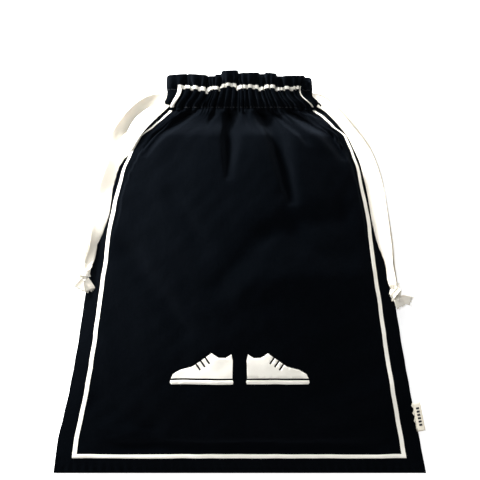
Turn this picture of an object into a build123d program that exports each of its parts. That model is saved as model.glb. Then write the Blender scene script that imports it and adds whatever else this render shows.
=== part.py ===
"""A drawstring shoe bag, filled and lying on its back. Millimetres.

Frame: +X to the bag's right side, +Y towards the mouth, +Z up from the surface that it
lies on. The origin is under the middle of the bag.

The bag is two cotton panels sewn at the sides and the bottom. At the mouth each panel is
folded inwards and stitched twice across, which makes a casing with a frill above it. Two
flat tapes run round the casings, one with its ends out at the left, one at the right.
"""
from build123d import *
from collections import namedtuple
from math import cos, radians, sin, tan
import os

# ---- Driving dimensions ----------------------------------------------------------------
LENGTH = 343.0  # bottom seam to the top of the frill
BOTTOM = -LENGTH / 2  # Y of the bottom seam
TOP = LENGTH / 2  # Y of the frill's folded edge
CLOTH = 1.0  # one panel's cloth, with its creases
SEAM_LIP = 1.2  # width of the panel's edge where front and back meet
CASING_LOW = 141.5  # Y of the stitching under the casing
CASING_HIGH = 156.0  # Y of the stitching between the casing and the frill
CASING_HALF = 61.0  # half the gathered casing's width
NECK_MIDDLE = 36.0  # height of the mouth's middle
NECK_HALF = 17.0  # from there to the outer face of either casing
CHANNEL_DEPTH = 4.0  # room for the tapes inside a casing

TAPE_WIDTH = 12.0
TAPE_THICK = 0.8
TAPE_GAP = 0.4  # between one tape and the next in the casing
TAPE_Y = (CASING_LOW + CASING_HIGH) / 2 + 0.25
TAPE_TILT = 25.0  # degrees that a free tape leans outwards over the bag's edge
FLAT_FOR = 10.0  # length of free tape that still lies flat at the exit
LEANS_BY = 45.0  # length at which it has its full tilt
RUN_INSIDE = 14.0  # |X| where the sliding part of a tape ends inside the casing
LOOP_START = 48.0  # |X| where the rest of that tape begins, beneath it
BRIDGE = 2.2  # how far past the casing a tape crosses from front to back
KNOT_SIZE = (16.0, 15.0, 11.0)
KNOT_ROUND = 5.0

INK = 0.3
BORDER_WIDTH = 3.7
BORDER_FOOT = 14.5  # from the bottom seam to the border's outer edge
SHOE_LENGTH = 54.0
SHOE_GAP = 11.0  # between the two printed shoes' heels
SHOE_FOOT = 77.0  # from the bottom seam to the printed soles
STITCH = 2.4
STITCH_PITCH = 3.2

# The filled bag's outline: at each height above the bottom seam, the half width, the side
# seam's height, the front's crest, the back's low line, the half width of the back's flat
# middle, and the power that squares off the front's arch towards the neck.
Station = namedtuple("Station", "along half seam crest low flat power")
STATIONS = [
    Station(0, 160.0, 1.2, 2.4, 0.0, 158.0, 2.0),
    Station(24, 156.5, 7.0, 20.0, 0.0, 118.0, 2.0),
    Station(65, 147.8, 18.0, 46.0, 0.0, 96.0, 2.0),
    Station(106, 139.8, 28.0, 68.0, 0.0, 84.0, 2.0),
    Station(147, 133.3, 35.0, 83.0, 0.0, 76.0, 2.0),
    Station(188, 126.8, 39.0, 92.0, 0.0, 70.0, 2.0),
    Station(229, 119.8, 41.0, 94.0, 0.0, 64.0, 2.1),
    Station(263, 108.5, 41.0, 88.0, 4.0, 58.0, 2.3),
    Station(284, 97.5, 40.0, 80.0, 9.0, 54.0, 2.6),
    Station(292, 92.0, 39.0, 74.5, 11.5, 52.0, 3.0),
    Station(302, 79.5, 37.5, 65.0, 15.0, 50.0, 4.0),
    Station(313, 62.5, 36.0, 53.0, 19.0, 48.0, 8.0),
]

# Each free tape's route from the casing to its knot, as corner points.
LEFT_FRONT = [
    (-61.0, 149.0, 51.2),
    (-74.0, 143.5, 51.0),
    (-86.5, 132.0, 49.6),
    (-97.5, 117.0, 48.4),
    (-106.0, 96.0, 47.4),
    (-113.5, 72.5, 47.0),
    (-119.0, 47.0, 47.0),
    (-125.5, 24.0, 45.6),
    (-131.0, 7.0, 44.4),
]
LEFT_BACK = [
    (-61.0, 149.0, 20.8),
    (-73.5, 145.0, 21.0),
    (-87.0, 134.0, 27.0),
    (-101.8, 119.8, 36.4),
    (-110.5, 98.0, 44.0),
    (-117.0, 74.0, 45.2),
    (-121.0, 47.0, 45.0),
    (-127.0, 24.0, 43.4),
    (-132.0, 7.0, 42.4),
]
RIGHT_FRONT = [
    (61.0, 149.0, 51.2),
    (75.5, 144.8, 51.0),
    (89.0, 135.5, 49.8),
    (99.5, 122.5, 48.8),
    (109.0, 105.0, 47.6),
    (116.0, 82.0, 47.0),
    (120.5, 56.0, 46.8),
    (123.0, 33.0, 46.4),
    (128.5, 10.0, 45.2),
    (131.5, -10.0, 44.0),
]
RIGHT_BACK = [
    (61.0, 149.0, 20.8),
    (73.5, 145.0, 21.0),
    (87.0, 134.0, 27.0),
    (101.0, 119.5, 36.5),
    (111.0, 101.0, 43.6),
    (117.5, 79.5, 45.0),
    (122.5, 55.0, 44.6),
    (125.5, 32.0, 44.2),
    (130.0, 10.0, 43.2),
    (133.0, -10.0, 42.0),
]
KNOTS = {"left": (-132.6, 0.5, 46.0), "right": (133.6, -16.5, 44.5)}
TIPS = {"left": [(-134.0, -13.5), (-139.5, -9.5)], "right": [(145.5, -23.5), (139.0, -28.5)]}


def between(along, name):
    """One of the outline's values at a height above the bottom seam."""
    for low, high in zip(STATIONS, STATIONS[1:]):
        if along <= high.along:
            share = (along - low.along) / (high.along - low.along)
            return getattr(low, name) + share * (getattr(high, name) - getattr(low, name))
    return getattr(STATIONS[-1], name)


# ---- Panels ----------------------------------------------------------------------------
ARCH_STEPS = [-1.0, -0.96, -0.88, -0.75, -0.55, -0.3, 0.0]
ARCH_STEPS += [-step for step in reversed(ARCH_STEPS[:-1])]


def front_arch(station, inset, lift):
    """The front's curve across the bag, drawn in from the seam and raised by lift."""
    half = station.half - inset
    rise = station.crest - station.seam + lift
    y = BOTTOM + station.along
    points = []
    for step in ARCH_STEPS:
        points.append((half * step, y, station.seam + rise * (1 - abs(step) ** station.power)))
    return points


def front_section(station, inner_inset, inner_lift, outer_inset=0.0, outer_lift=0.0):
    outer = front_arch(station, outer_inset, outer_lift)
    inner = front_arch(station, inner_inset, inner_lift)
    edges = [
        Polyline(*outer),
        Line(outer[-1], inner[-1]),
        Polyline(*reversed(inner)),
        Line(inner[0], outer[0]),
    ]
    return Face(Wire([edge for curve in edges for edge in curve.edges()]))


def back_curve(station, inset, lift):
    """The back's curve: flat in the middle, then turning up to the side seam."""
    half, flat = station.half - inset, station.flat - inset / 2
    y = BOTTOM + station.along
    low = station.low + lift
    reach, rise = half - flat, station.seam - low
    side = [(0.35, 0.06), (0.65, 0.26), (0.88, 0.64)]
    right = [(flat, y, low)]
    right += [(flat + reach * across, y, low + rise * up) for across, up in side]
    right.append((half, y, station.seam))
    return [(-x, y, z) for x, y, z in reversed(right)] + right


def back_section(station):
    outer = back_curve(station, 0.0, 0.0)
    inner = back_curve(station, SEAM_LIP, CLOTH)
    edges = [
        Polyline(*outer),
        Line(outer[-1], inner[-1]),
        Polyline(*reversed(inner)),
        Line(inner[0], outer[0]),
    ]
    return Face(Wire([edge for curve in edges for edge in curve.edges()]))


def slab(x, y, z):
    """A box from three (low, high) pairs."""
    size = [high - low for low, high in (x, y, z)]
    middle = [(high + low) / 2 for low, high in (x, y, z)]
    return Pos(*middle) * Box(*size)


def mirrored_height(z):
    return 2 * NECK_MIDDLE - z


def casing_cloth(front):
    """The panel's own cloth across the casing and the frill."""
    outer = NECK_MIDDLE + NECK_HALF
    heights = (outer - CLOTH, outer)
    if not front:
        heights = (mirrored_height(outer), mirrored_height(outer - CLOTH))
    return slab((-CASING_HALF, CASING_HALF), (CASING_LOW, TOP), heights)


def front_panel():
    body = loft([front_section(s, SEAM_LIP, -CLOTH) for s in STATIONS], ruled=True)
    return body + casing_cloth(front=True)


def back_panel():
    body = loft([back_section(s) for s in STATIONS], ruled=True)
    return body + casing_cloth(front=False)


def facing(front):
    """The cloth folded inside the mouth: it hangs off the panel where the tapes run."""
    near = NECK_MIDDLE + NECK_HALF - CLOTH
    far = near - CHANNEL_DEPTH
    step = 0.7
    low = CASING_LOW + 0.1
    profile = [
        (low, near),
        (CASING_LOW + step, far),
        (CASING_HIGH - step, far),
        (CASING_HIGH, near),
        (TOP, near),
        (TOP, near - CLOTH),
        (CASING_HIGH + CLOTH, near - CLOTH),
        (CASING_HIGH - step + CLOTH, far - CLOTH),
        (low, far - CLOTH),
    ]
    points = [(-CASING_HALF, y, z if front else mirrored_height(z)) for y, z in profile]
    face = Face(Wire(Polyline(*points, close=True).edges()))
    return Solid.extrude(face, Vector(2 * CASING_HALF, 0, 0))


# ---- Seams -----------------------------------------------------------------------------
ALLOWANCE = 9.0
ALLOWANCE_HALF = 0.8  # half the thickness of the two layers


def side_allowance(side):
    """The two raw edges inside a side seam, thin at the seam and full behind it."""
    sections = []
    for station in STATIONS[1:-3]:
        edge = station.half - SEAM_LIP
        y, z = BOTTOM + station.along, station.seam
        slope = station.power * (station.crest - station.seam) / station.half
        backs = (1.0, ALLOWANCE / 2, ALLOWANCE)
        outline = [(back, min(ALLOWANCE_HALF, 0.5 * slope * back)) for back in backs]
        points = [(side * (edge - back), y, z + up) for back, up in outline]
        points += [(side * (edge - back), y, z - up) for back, up in reversed(outline)]
        sections.append(Face(Wire(Polyline(*points, close=True).edges())))
    return loft(sections, ruled=True)


def bottom_allowance():
    half = 0.8 * STATIONS[0].half
    start, rest = BOTTOM + 4.5, CLOTH + 0.1
    return slab((-half, half), (start, start + ALLOWANCE), (rest, rest + 2 * ALLOWANCE_HALF))


def stitch_row(y, front):
    """A row of straight stitches across the casing's outer face."""
    count = int(2 * (CASING_HALF - STITCH) // STITCH_PITCH)
    outer = NECK_MIDDLE + NECK_HALF
    heights = (outer, outer + INK) if front else (mirrored_height(outer + INK), mirrored_height(outer))
    row = []
    for index in range(count + 1):
        x = (index - count / 2) * STITCH_PITCH
        row.append(slab((x - STITCH / 2, x + STITCH / 2), (y - 0.25, y + 0.25), heights))
    return Compound(children=row)


# ---- Side label ------------------------------------------------------------------------
LABEL_MIDDLE = 48.7  # height of its middle above the bottom seam
LABEL_LENGTH = 25.5
LABEL_OUT = 6.4
LABEL_LEAF = 0.45  # thickness of one of its two leaves
LABEL_CLEAR = 0.6  # from the seam's edge


def label_plane():
    """On the right side seam: X out from the bag, Y up the seam, Z across the label."""
    low, high = LABEL_MIDDLE - LABEL_LENGTH / 2, LABEL_MIDDLE + LABEL_LENGTH / 2
    ends = [Vector(between(a, "half"), BOTTOM + a, between(a, "seam")) for a in (low, high)]
    along = (ends[1] - ends[0]).normalized()
    out = (Vector(1, 0, 0) - along * along.X).normalized()
    return Plane(origin=(ends[0] + ends[1]) / 2, x_dir=out, z_dir=out.cross(along))


def side_label():
    """A folded tape: two leaves that part at the seam and meet in the outer fold."""
    start, end = LABEL_CLEAR, LABEL_OUT
    fold = LABEL_LEAF
    outline = [(start, fold), (end - fold, fold), (end, 0), (end - fold, -fold), (start, -fold)]
    inside = 0.04
    gap = [(start, -inside), (end - 2 * fold, -inside), (end - 2 * fold, inside), (start, inside)]
    points = outline + gap
    face = Face(Wire(Polyline(*[(x, -LABEL_LENGTH / 2, z) for x, z in points], close=True).edges()))
    return label_plane().location * Solid.extrude(face, Vector(0, LABEL_LENGTH, 0))


# ---- Printing --------------------------------------------------------------------------
def ink_skin():
    """A film on the front panel, from which the printed shapes are cut."""
    sections = [front_section(s, 0.0, 0.0, -INK / 2, INK) for s in STATIONS[:-1]]
    return loft(sections, ruled=True)


def border_line(station, extra):
    """Where the border runs beside a side seam, seen from above."""
    inset = min(12.0, 3.0 + max(0.0, 300.0 - station.along) * 0.14)
    if station.along < 60:
        inset = 14.5
    return station.half - inset - extra


def border_outline(extra):
    sides = [s for s in STATIONS if 0 < s.along < 290]
    foot = BORDER_FOOT + extra
    foot_half = border_line(Station(foot, between(foot, "half"), 0, 0, 0, 0, 0), extra)
    right = [(foot_half, BOTTOM + foot)]
    right += [(border_line(s, extra), BOTTOM + s.along) for s in sides]
    return right


def printed_border():
    """A line up both sides and along the bottom, and one across the top of the casing."""
    outer, inner = border_outline(0.0), border_outline(BORDER_WIDTH)
    loop = outer + list(reversed(inner))
    loop += [(-x, y) for x, y in inner] + [(-x, y) for x, y in reversed(outer)]
    frame = Face(Wire(Polyline(*[(x, y, 0) for x, y in loop], close=True).edges()))
    on_body = ink_skin() & Solid.extrude(frame, Vector(0, 0, 120))
    crest = NECK_MIDDLE + NECK_HALF
    half = CASING_HALF - 4
    across = (CASING_HIGH + 1, CASING_HIGH + 1 + BORDER_WIDTH)
    return Compound(children=[*on_body.solids(), slab((-half, half), across, (crest, crest + INK))])


SOLE = [(0.6, 0.0), (53.0, 0.0), (54.0, 1.4), (53.6, 3.4), (0.3, 3.4), (0.0, 1.6)]
UPPER = [
    (0.8, 5.0),
    (0.4, 20.5),
    (1.6, 25.6),
    (6.5, 22.4),
    (12.5, 22.6),
    (18.5, 26.5),
    (35.0, 15.0),
    (45.5, 12.2),
    (51.5, 8.6),
    (53.2, 5.0),
]
LACES = [(22.2, 20.4), (26.2, 17.7), (30.2, 15.0)]
LACE_SIZE = (7.0, 1.5)


def shoe_print(side):
    """One low shoe seen from its side, toe outwards, as a flat shape."""
    def place(points):
        at = [(side * (SHOE_GAP / 2 + x), BOTTOM + SHOE_FOOT + y, 0) for x, y in points]
        return Face(Wire(Polyline(*at, close=True).edges()))

    upper = place(UPPER)
    for x, y in LACES:
        spot = Pos(side * (SHOE_GAP / 2 + x), BOTTOM + SHOE_FOOT + y, 0) * Rot(0, 0, side * 56)
        upper = upper - spot * Rectangle(*LACE_SIZE)
    return [place(SOLE), *upper.faces()]


def printed_shoes():
    skin = ink_skin()
    pieces = []
    for side in (-1, 1):
        for face in shoe_print(side):
            if face.normal_at().Z < 0:
                face = -face
            pieces += (skin & Solid.extrude(face, Vector(0, 0, 120))).solids()
    return Compound(children=pieces)


# ---- Drawcords -------------------------------------------------------------------------
def tape_layer(layer, front):
    """Height of a tape in a casing: 0 lies against the panel, 2 against the facing."""
    near = NECK_MIDDLE + NECK_HALF - CLOTH
    z = near - TAPE_GAP - TAPE_THICK / 2 - layer * (TAPE_THICK + TAPE_GAP)
    return z if front else mirrored_height(z)


def corner_radii(points):
    """Each corner's arc, as large as the two runs beside it allow."""
    radii = []
    for a, b, c in zip(points, points[1:], points[2:]):
        first, second = Vector(*b) - Vector(*a), Vector(*c) - Vector(*b)
        half_turn = radians(first.get_angle(second)) / 2
        radii.append(0.45 * min(first.length, second.length) / tan(half_turn))
    return radii


def free_tape(name, points):
    """A flat tape along straight runs and arcs, flat at the casing and leaning outwards."""
    radii = corner_radii(points)
    path = Wire(FilletPolyline(*points, radius=radii).edges())
    outward = 1 if points[0][0] > 0 else -1
    sections = []
    steps = 48
    for index in range(steps + 1):
        spot, ahead = path @ (index / steps), path % (index / steps)
        run = path.length * index / steps
        share = min(1.0, max(0.0, (run - FLAT_FOR) / (LEANS_BY - FLAT_FOR)))
        lean = radians(TAPE_TILT) * share * share * (3 - 2 * share)
        level = ahead.cross(Vector(0, 0, 1)).normalized() * -outward
        above = level.cross(ahead).normalized()
        above = above if above.Z > 0 else above * -1
        across = level * cos(lean) - above * sin(lean)
        up = above * cos(lean) + level * sin(lean)
        half, thick = across * (TAPE_WIDTH / 2), up * (TAPE_THICK / 2)
        corners = [spot + half + thick, spot - half + thick, spot - half - thick, spot + half - thick]
        sections.append(Face(Wire(Polyline(*corners, close=True).edges())))
    solid = loft(sections, ruled=True)
    share = solid.volume / (path.length * TAPE_WIDTH * TAPE_THICK)
    rounded = [round(radius) for radius in radii]
    print(name, "length", round(path.length, 1), "radii", rounded, "volume share", round(share, 3))
    return solid


def run_in_casing(side, front):
    """The straight length of tape behind an exit, which slides in the casing."""
    z = tape_layer(0, front)
    ends = sorted((side * RUN_INSIDE, side * CASING_HALF))
    y = (TAPE_Y - TAPE_WIDTH / 2, TAPE_Y + TAPE_WIDTH / 2)
    return slab(ends, y, (z - TAPE_THICK / 2, z + TAPE_THICK / 2))


def cord_loop(side, layer):
    """The rest of a tape: along both casings, and across at the far side."""
    start, far = side * LOOP_START, -side * (CASING_HALF + BRIDGE)
    top, foot = tape_layer(layer, True), tape_layer(layer, False)
    points = [(start, TAPE_Y, top), (far, TAPE_Y, top), (far, TAPE_Y, foot), (start, TAPE_Y, foot)]
    path = FilletPolyline(*points, radius=1.2)
    section = Plane(origin=points[0], z_dir=(-side, 0, 0), x_dir=(0, 1, 0)) * Rectangle(
        TAPE_WIDTH, TAPE_THICK
    )
    return sweep(section, path)


def knot(side):
    """Both ends tied together in one overhand knot."""
    lump = Box(*KNOT_SIZE)
    return Pos(*KNOTS[side]) * fillet(lump.edges(), KNOT_ROUND)


def cord_tips(side):
    """The two loose ends past the knot, a little lower at their tips."""
    x, y, z = KNOTS[side]
    tips = []
    for index, (tip_x, tip_y) in enumerate(TIPS[side]):
        start = Vector(x, y, z - 0.9 - 1.6 * index)
        end = Vector(tip_x, tip_y, z - 3.4 - 1.6 * index)
        ahead = (end - start).normalized()
        level = ahead.cross(Vector(0, 0, 1)).normalized()
        up = level.cross(ahead)
        plane = Plane(origin=(start + end) / 2, x_dir=ahead, z_dir=up)
        length = (end - start).length
        tips.append(plane.location * Box(length, TAPE_WIDTH - 1, TAPE_THICK))
    return Compound(children=tips)


def build():
    parts = {
        "front_panel": front_panel(),
        "back_panel": back_panel(),
        "front_facing": facing(front=True),
        "back_facing": facing(front=False),
        "left_seam_allowance": side_allowance(-1),
        "right_seam_allowance": side_allowance(1),
        "bottom_seam_allowance": bottom_allowance(),
        "front_lower_stitching": stitch_row(CASING_LOW + 0.3, front=True),
        "front_upper_stitching": stitch_row(CASING_HIGH, front=True),
        "back_lower_stitching": stitch_row(CASING_LOW + 0.3, front=False),
        "back_upper_stitching": stitch_row(CASING_HIGH, front=False),
        "side_label": side_label(),
        "printed_border": printed_border(),
        "printed_shoes": printed_shoes(),
    }
    routes = {
        "left": (LEFT_FRONT, LEFT_BACK),
        "right": (RIGHT_FRONT, RIGHT_BACK),
    }
    for name, side, layer in (("left", -1, 1), ("right", 1, 2)):
        front_route, back_route = routes[name]
        parts[f"{name}_cord_loop"] = cord_loop(side, layer)
        parts[f"{name}_cord_front_run"] = run_in_casing(side, front=True)
        parts[f"{name}_cord_back_run"] = run_in_casing(side, front=False)
        parts[f"{name}_cord_front_tail"] = free_tape(f"{name}_cord_front_tail", front_route)
        parts[f"{name}_cord_back_tail"] = free_tape(f"{name}_cord_back_tail", back_route)
        parts[f"{name}_cord_knot"] = knot(name)
        parts[f"{name}_cord_tips"] = cord_tips(name)
    return parts


os.makedirs("parts", exist_ok=True)
for node, shape in build().items():
    export_step(shape, f"parts/{node}.step")
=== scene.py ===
"""The looks of a drawstring shoe bag, filled and lying on its back.

Lengths are in millimetres until a mesh is made, which is in metres, in the frame of the CAD
model: +X to the bag's right side, +Y towards the mouth, +Z up from the surface it lies on.

Each panel is a flat cut 320 mm wide. A point of the cloth has flat coordinates: u across, from
-160 to 160, and v up from the bottom seam. The body is simulated as cloth from v 0 to 350, where
the casing starts, and the casing and the frill above it are gathered by formula.
"""

import math
import random
from collections import namedtuple

import bmesh
import bpy
import numpy as np
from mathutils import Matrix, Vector


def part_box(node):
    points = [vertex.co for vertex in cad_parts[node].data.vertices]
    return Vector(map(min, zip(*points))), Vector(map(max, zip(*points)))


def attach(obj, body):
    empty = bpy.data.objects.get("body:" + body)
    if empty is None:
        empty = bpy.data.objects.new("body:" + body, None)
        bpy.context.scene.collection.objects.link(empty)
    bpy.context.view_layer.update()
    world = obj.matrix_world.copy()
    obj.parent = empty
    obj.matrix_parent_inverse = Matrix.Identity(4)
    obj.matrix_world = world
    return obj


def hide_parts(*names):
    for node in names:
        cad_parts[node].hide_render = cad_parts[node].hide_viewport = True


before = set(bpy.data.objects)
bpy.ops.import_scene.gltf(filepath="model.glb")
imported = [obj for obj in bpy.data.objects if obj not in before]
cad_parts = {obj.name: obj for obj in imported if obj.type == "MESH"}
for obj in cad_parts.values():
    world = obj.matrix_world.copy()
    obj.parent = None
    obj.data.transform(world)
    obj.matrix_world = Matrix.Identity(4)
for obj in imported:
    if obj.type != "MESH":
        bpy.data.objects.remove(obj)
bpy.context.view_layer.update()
MM = 0.001

# ---- Sizes -----------------------------------------------------------------------------
BOTTOM = 1000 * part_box("front_panel")[0].y  # Y of the bottom seam
CUT_HALF = 160.0  # half the width of a panel's flat cut
BODY = 350.0  # cloth from the bottom seam to the stitching under the casing
CASING = 14.5
FRILL = 16.0
CASING_LOW = 141.5  # Y of the stitching under the casing
CASING_HIGH = 156.0
NECK_HALF = 62.0
NECK_MIDDLE = 36.0
NECK_RISE = 14.0
SLIT = 3.5  # half the gap between the casings' ends
CLOTH = 0.45

TAPE_WIDTH = 12.0
TAPE_THICK = 0.9
TAPE_Y = (CASING_LOW + CASING_HIGH) / 2

# The filled bag at each height above the bottom seam: half width, side seam's height, front's
# crest, back's low line, half width of the back's flat middle, and power of the front's arch.
Station = namedtuple("Station", "along half seam crest low flat power")
STATIONS = [
    Station(0, 160.0, 1.2, 2.4, 0.0, 158.0, 2.0),
    Station(24, 156.5, 7.0, 20.0, 0.0, 118.0, 2.0),
    Station(65, 147.8, 18.0, 46.0, 0.0, 96.0, 2.0),
    Station(106, 139.8, 28.0, 68.0, 0.0, 84.0, 2.0),
    Station(147, 133.3, 35.0, 83.0, 0.0, 76.0, 2.0),
    Station(188, 126.8, 39.0, 92.0, 0.0, 70.0, 2.0),
    Station(229, 119.8, 41.0, 94.0, 0.0, 64.0, 2.1),
    Station(263, 108.5, 41.0, 88.0, 4.0, 58.0, 2.3),
    Station(284, 97.5, 40.0, 80.0, 9.0, 54.0, 2.6),
    Station(292, 92.0, 39.0, 74.5, 11.5, 46.0, 3.0),
    Station(302, 79.5, 37.5, 63.0, 16.0, 30.0, 3.4),
    Station(313, 62.0, 36.0, 50.0, 22.0, 12.0, 3.5),
]
# The outline seen from above, at heights above the bottom seam: left and right edge.
OUTLINE = [
    (0, 160.0, 160.0), (24, 157.3, 155.6), (65, 147.9, 147.6), (106, 139.8, 139.8),
    (147, 133.4, 133.1), (188, 127.0, 126.2), (229, 119.8, 120.0), (263, 107.2, 109.4),
    (284, 95.4, 100.4), (291, 91.5, 97.9), (297, 85.7, 92.0), (304, 75.6, 85.6),
    (313, 66.0, 73.5),
]

# The large folds below the casing: where on the cut each starts and ends, how deep it is, half its
# width to the left and to the right, and how far down the cut it runs.
FRONT_FOLDS = [
    (-146, -152, 3.0, 8, 10, 30),
    (-97, -122, -20.0, 16, 8, 46),
    (-54, -55, -8.0, 7, 9, 20),
    (-21, -15, -25.0, 9, 17, 66),
    (12, 14, -5.0, 6, 8, 18),
    (41, 58, -26.0, 9, 22, 88),
    (70, 92, -12.0, 9, 12, 36),
    (104, 131, -20.0, 13, 9, 50),
    (146, 152, 3.0, 10, 8, 30),
]
BACK_FOLDS = [
    (-118, -132, -11.0, 12, 10, 44),
    (-76, -82, -12.0, 14, 12, 56),
    (-48, -50, -5.0, 9, 9, 24),
    (-20, -20, -13.0, 12, 16, 70),
    (24, 26, -12.0, 14, 12, 60),
    (58, 62, -6.0, 9, 10, 26),
    (88, 98, -12.0, 12, 14, 58),
    (122, 136, -10.0, 10, 12, 40),
]
FOLD_SWELL = 6.0  # how far the cloth bulges between the folds, just below the casing
GATHER_DEPTH = 2.5  # the fine gathers that the tape draws up
GATHER_REACH = 2.6
FACING_DEPTH = 10.7  # how far in from the casing the facing lies, with the tapes between them
GATHER_LAP = 0.75  # how far a gather's two sides lean over the dip beside it

# The frill's flutes: left and right edge, the top edge's Y at each, and how far out it stands.
FRONT_FLUTES = [
    (-62.0, -44.6, 168.8, 170.4, 5.4),
    (-44.6, -27.0, 170.4, 168.6, 5.0),
    (-27.0, -15.4, 168.2, 167.6, 3.6),
    (-15.4, -1.6, 172.4, 173.2, 7.0),
    (-1.6, 16.4, 170.4, 171.3, 5.8),
    (16.4, 21.6, 168.2, 166.8, 1.6),
    (21.6, 31.4, 171.2, 170.0, 5.2),
    (31.4, 36.0, 167.0, 166.6, 1.4),
    (36.0, 55.4, 168.2, 168.8, 5.6),
    (55.4, 61.6, 166.4, 161.0, 3.0),
]
BACK_FLUTES = [
    (-61.0, -50.0, 166.4, 167.6, 4.0),
    (-50.0, -34.0, 169.0, 170.2, 5.4),
    (-34.0, -21.0, 168.6, 168.0, 4.6),
    (-21.0, -7.0, 170.0, 170.6, 5.8),
    (-7.0, 9.0, 169.2, 168.6, 4.8),
    (9.0, 26.0, 170.2, 170.8, 5.6),
    (26.0, 40.0, 169.0, 168.2, 4.8),
    (40.0, 61.0, 168.4, 167.0, 5.2),
]
# How far the casing's upper seam rides up (+) or down (-), from the left end to the right.
SEAM_STEPS = [
    (-62, 0.4), (-52, 1.5), (-44, 0.7), (-36, 0.0), (-30.5, -1.7), (-27.5, -2.3), (-24.5, -0.4),
    (-17, 0.1), (-14.5, 1.6), (-4, 1.6), (-1.5, -0.5), (1, 0.3), (4, 0.9), (14, 0.7), (17, -0.5),
    (20.5, 0.0), (23, 0.9), (30, 0.5), (33, -0.9), (37, -0.2), (46, 0.1), (54, 0.4), (62, -0.4),
]

# Each free tape's route from the casing to its knot.
LEFT_FRONT = [
    (-60.0, 149.4, 37.5), (-68.0, 142.0, 41.0), (-77.4, 131.8, 45.4), (-88.4, 120.8, 47.0),
    (-99.6, 107.0, 47.6), (-108.6, 90.0, 47.2), (-115.0, 68.0, 47.0), (-119.5, 45.0, 46.8),
    (-125.5, 23.0, 45.6), (-130.4, 6.0, 45.2),
]
LEFT_BACK = [
    (-60.0, 149.4, 34.5), (-71.0, 150.4, 33.8), (-84.5, 144.5, 35.0), (-96.6, 132.5, 38.5),
    (-106.0, 115.0, 42.6), (-112.8, 92.0, 44.6), (-117.8, 68.0, 44.8), (-122.0, 45.0, 44.8),
    (-127.0, 23.0, 43.6), (-131.2, 6.0, 43.6),
]
RIGHT_FRONT = [
    (60.0, 149.4, 37.5), (72.0, 145.8, 40.6), (82.5, 135.7, 44.4), (93.2, 123.6, 46.0),
    (102.6, 109.4, 47.0), (110.4, 92.0, 47.0), (116.4, 70.0, 47.0), (119.6, 47.0, 46.8),
    (123.4, 26.0, 46.3), (128.6, 6.0, 45.2), (131.2, -11.0, 44.6),
]
RIGHT_BACK = [
    (60.0, 149.4, 34.5), (73.0, 148.4, 33.5), (83.8, 139.6, 34.0), (94.6, 127.2, 38.5),
    (103.6, 111.2, 42.6), (110.8, 93.4, 44.6), (116.6, 70.0, 44.8), (120.2, 47.0, 44.6),
    (125.2, 26.0, 44.2), (129.8, 6.0, 43.4), (132.0, -11.0, 43.0),
]


# ---- Helpers ---------------------------------------------------------------------------
def smooth(t):
    t = np.clip(t, 0.0, 1.0)
    return t * t * (3 - 2 * t)


def through(xs, ys, x):
    """A smooth curve through the points (xs, ys)."""
    xs, ys = np.asarray(xs, float), np.asarray(ys, float)
    slope = np.gradient(ys, xs)
    x = np.clip(x, xs[0], xs[-1])
    i = np.clip(np.searchsorted(xs, x, side="right") - 1, 0, len(xs) - 2)
    step = xs[i + 1] - xs[i]
    t = (x - xs[i]) / step
    rising, falling = 3 * t**2 - 2 * t**3, 2 * t**3 - 3 * t**2 + 1
    start, stop = (t**3 - 2 * t**2 + t) * step, (t**3 - t**2) * step
    return falling * ys[i] + rising * ys[i + 1] + start * slope[i] + stop * slope[i + 1]


def station_value(name, along):
    return through([s.along for s in STATIONS], [getattr(s, name) for s in STATIONS], along)


def link(obj):
    bpy.context.scene.collection.objects.link(obj)
    return obj


def mesh_object(name, points, faces, material, attributes=None):
    """A smooth mesh piece from points in millimetres."""
    mesh = bpy.data.meshes.new(name)
    mesh.from_pydata((np.asarray(points, float) * MM).tolist(), [], faces)
    mesh.polygons.foreach_set("use_smooth", [True] * len(mesh.polygons))
    if attributes is not None:
        flat = mesh.attributes.new("flat", "FLOAT_VECTOR", "POINT")
        flat.data.foreach_set("vector", (np.asarray(attributes, float) * MM).ravel())
    mesh.update()
    mesh.materials.append(material)
    return link(bpy.data.objects.new(name, mesh))


def grid_faces(rows, columns, flip=False):
    faces = []
    for j in range(rows - 1):
        for i in range(columns - 1):
            a = j * columns + i
            face = (a, a + 1, a + columns + 1, a + columns)
            faces.append(face[::-1] if flip else face)
    return faces


def swept_faces(rows, count, first=0):
    """The walls and both ends of a closed ring of points that is swept along a line."""
    faces = []
    for j in range(rows - 1):
        for i in range(count):
            a, b = first + j * count + i, first + j * count + (i + 1) % count
            faces.append((a, b, b + count, a + count))
    faces.append(tuple(range(first, first + count))[::-1])
    faces.append(tuple(range(first + (rows - 1) * count, first + rows * count)))
    return faces


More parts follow.
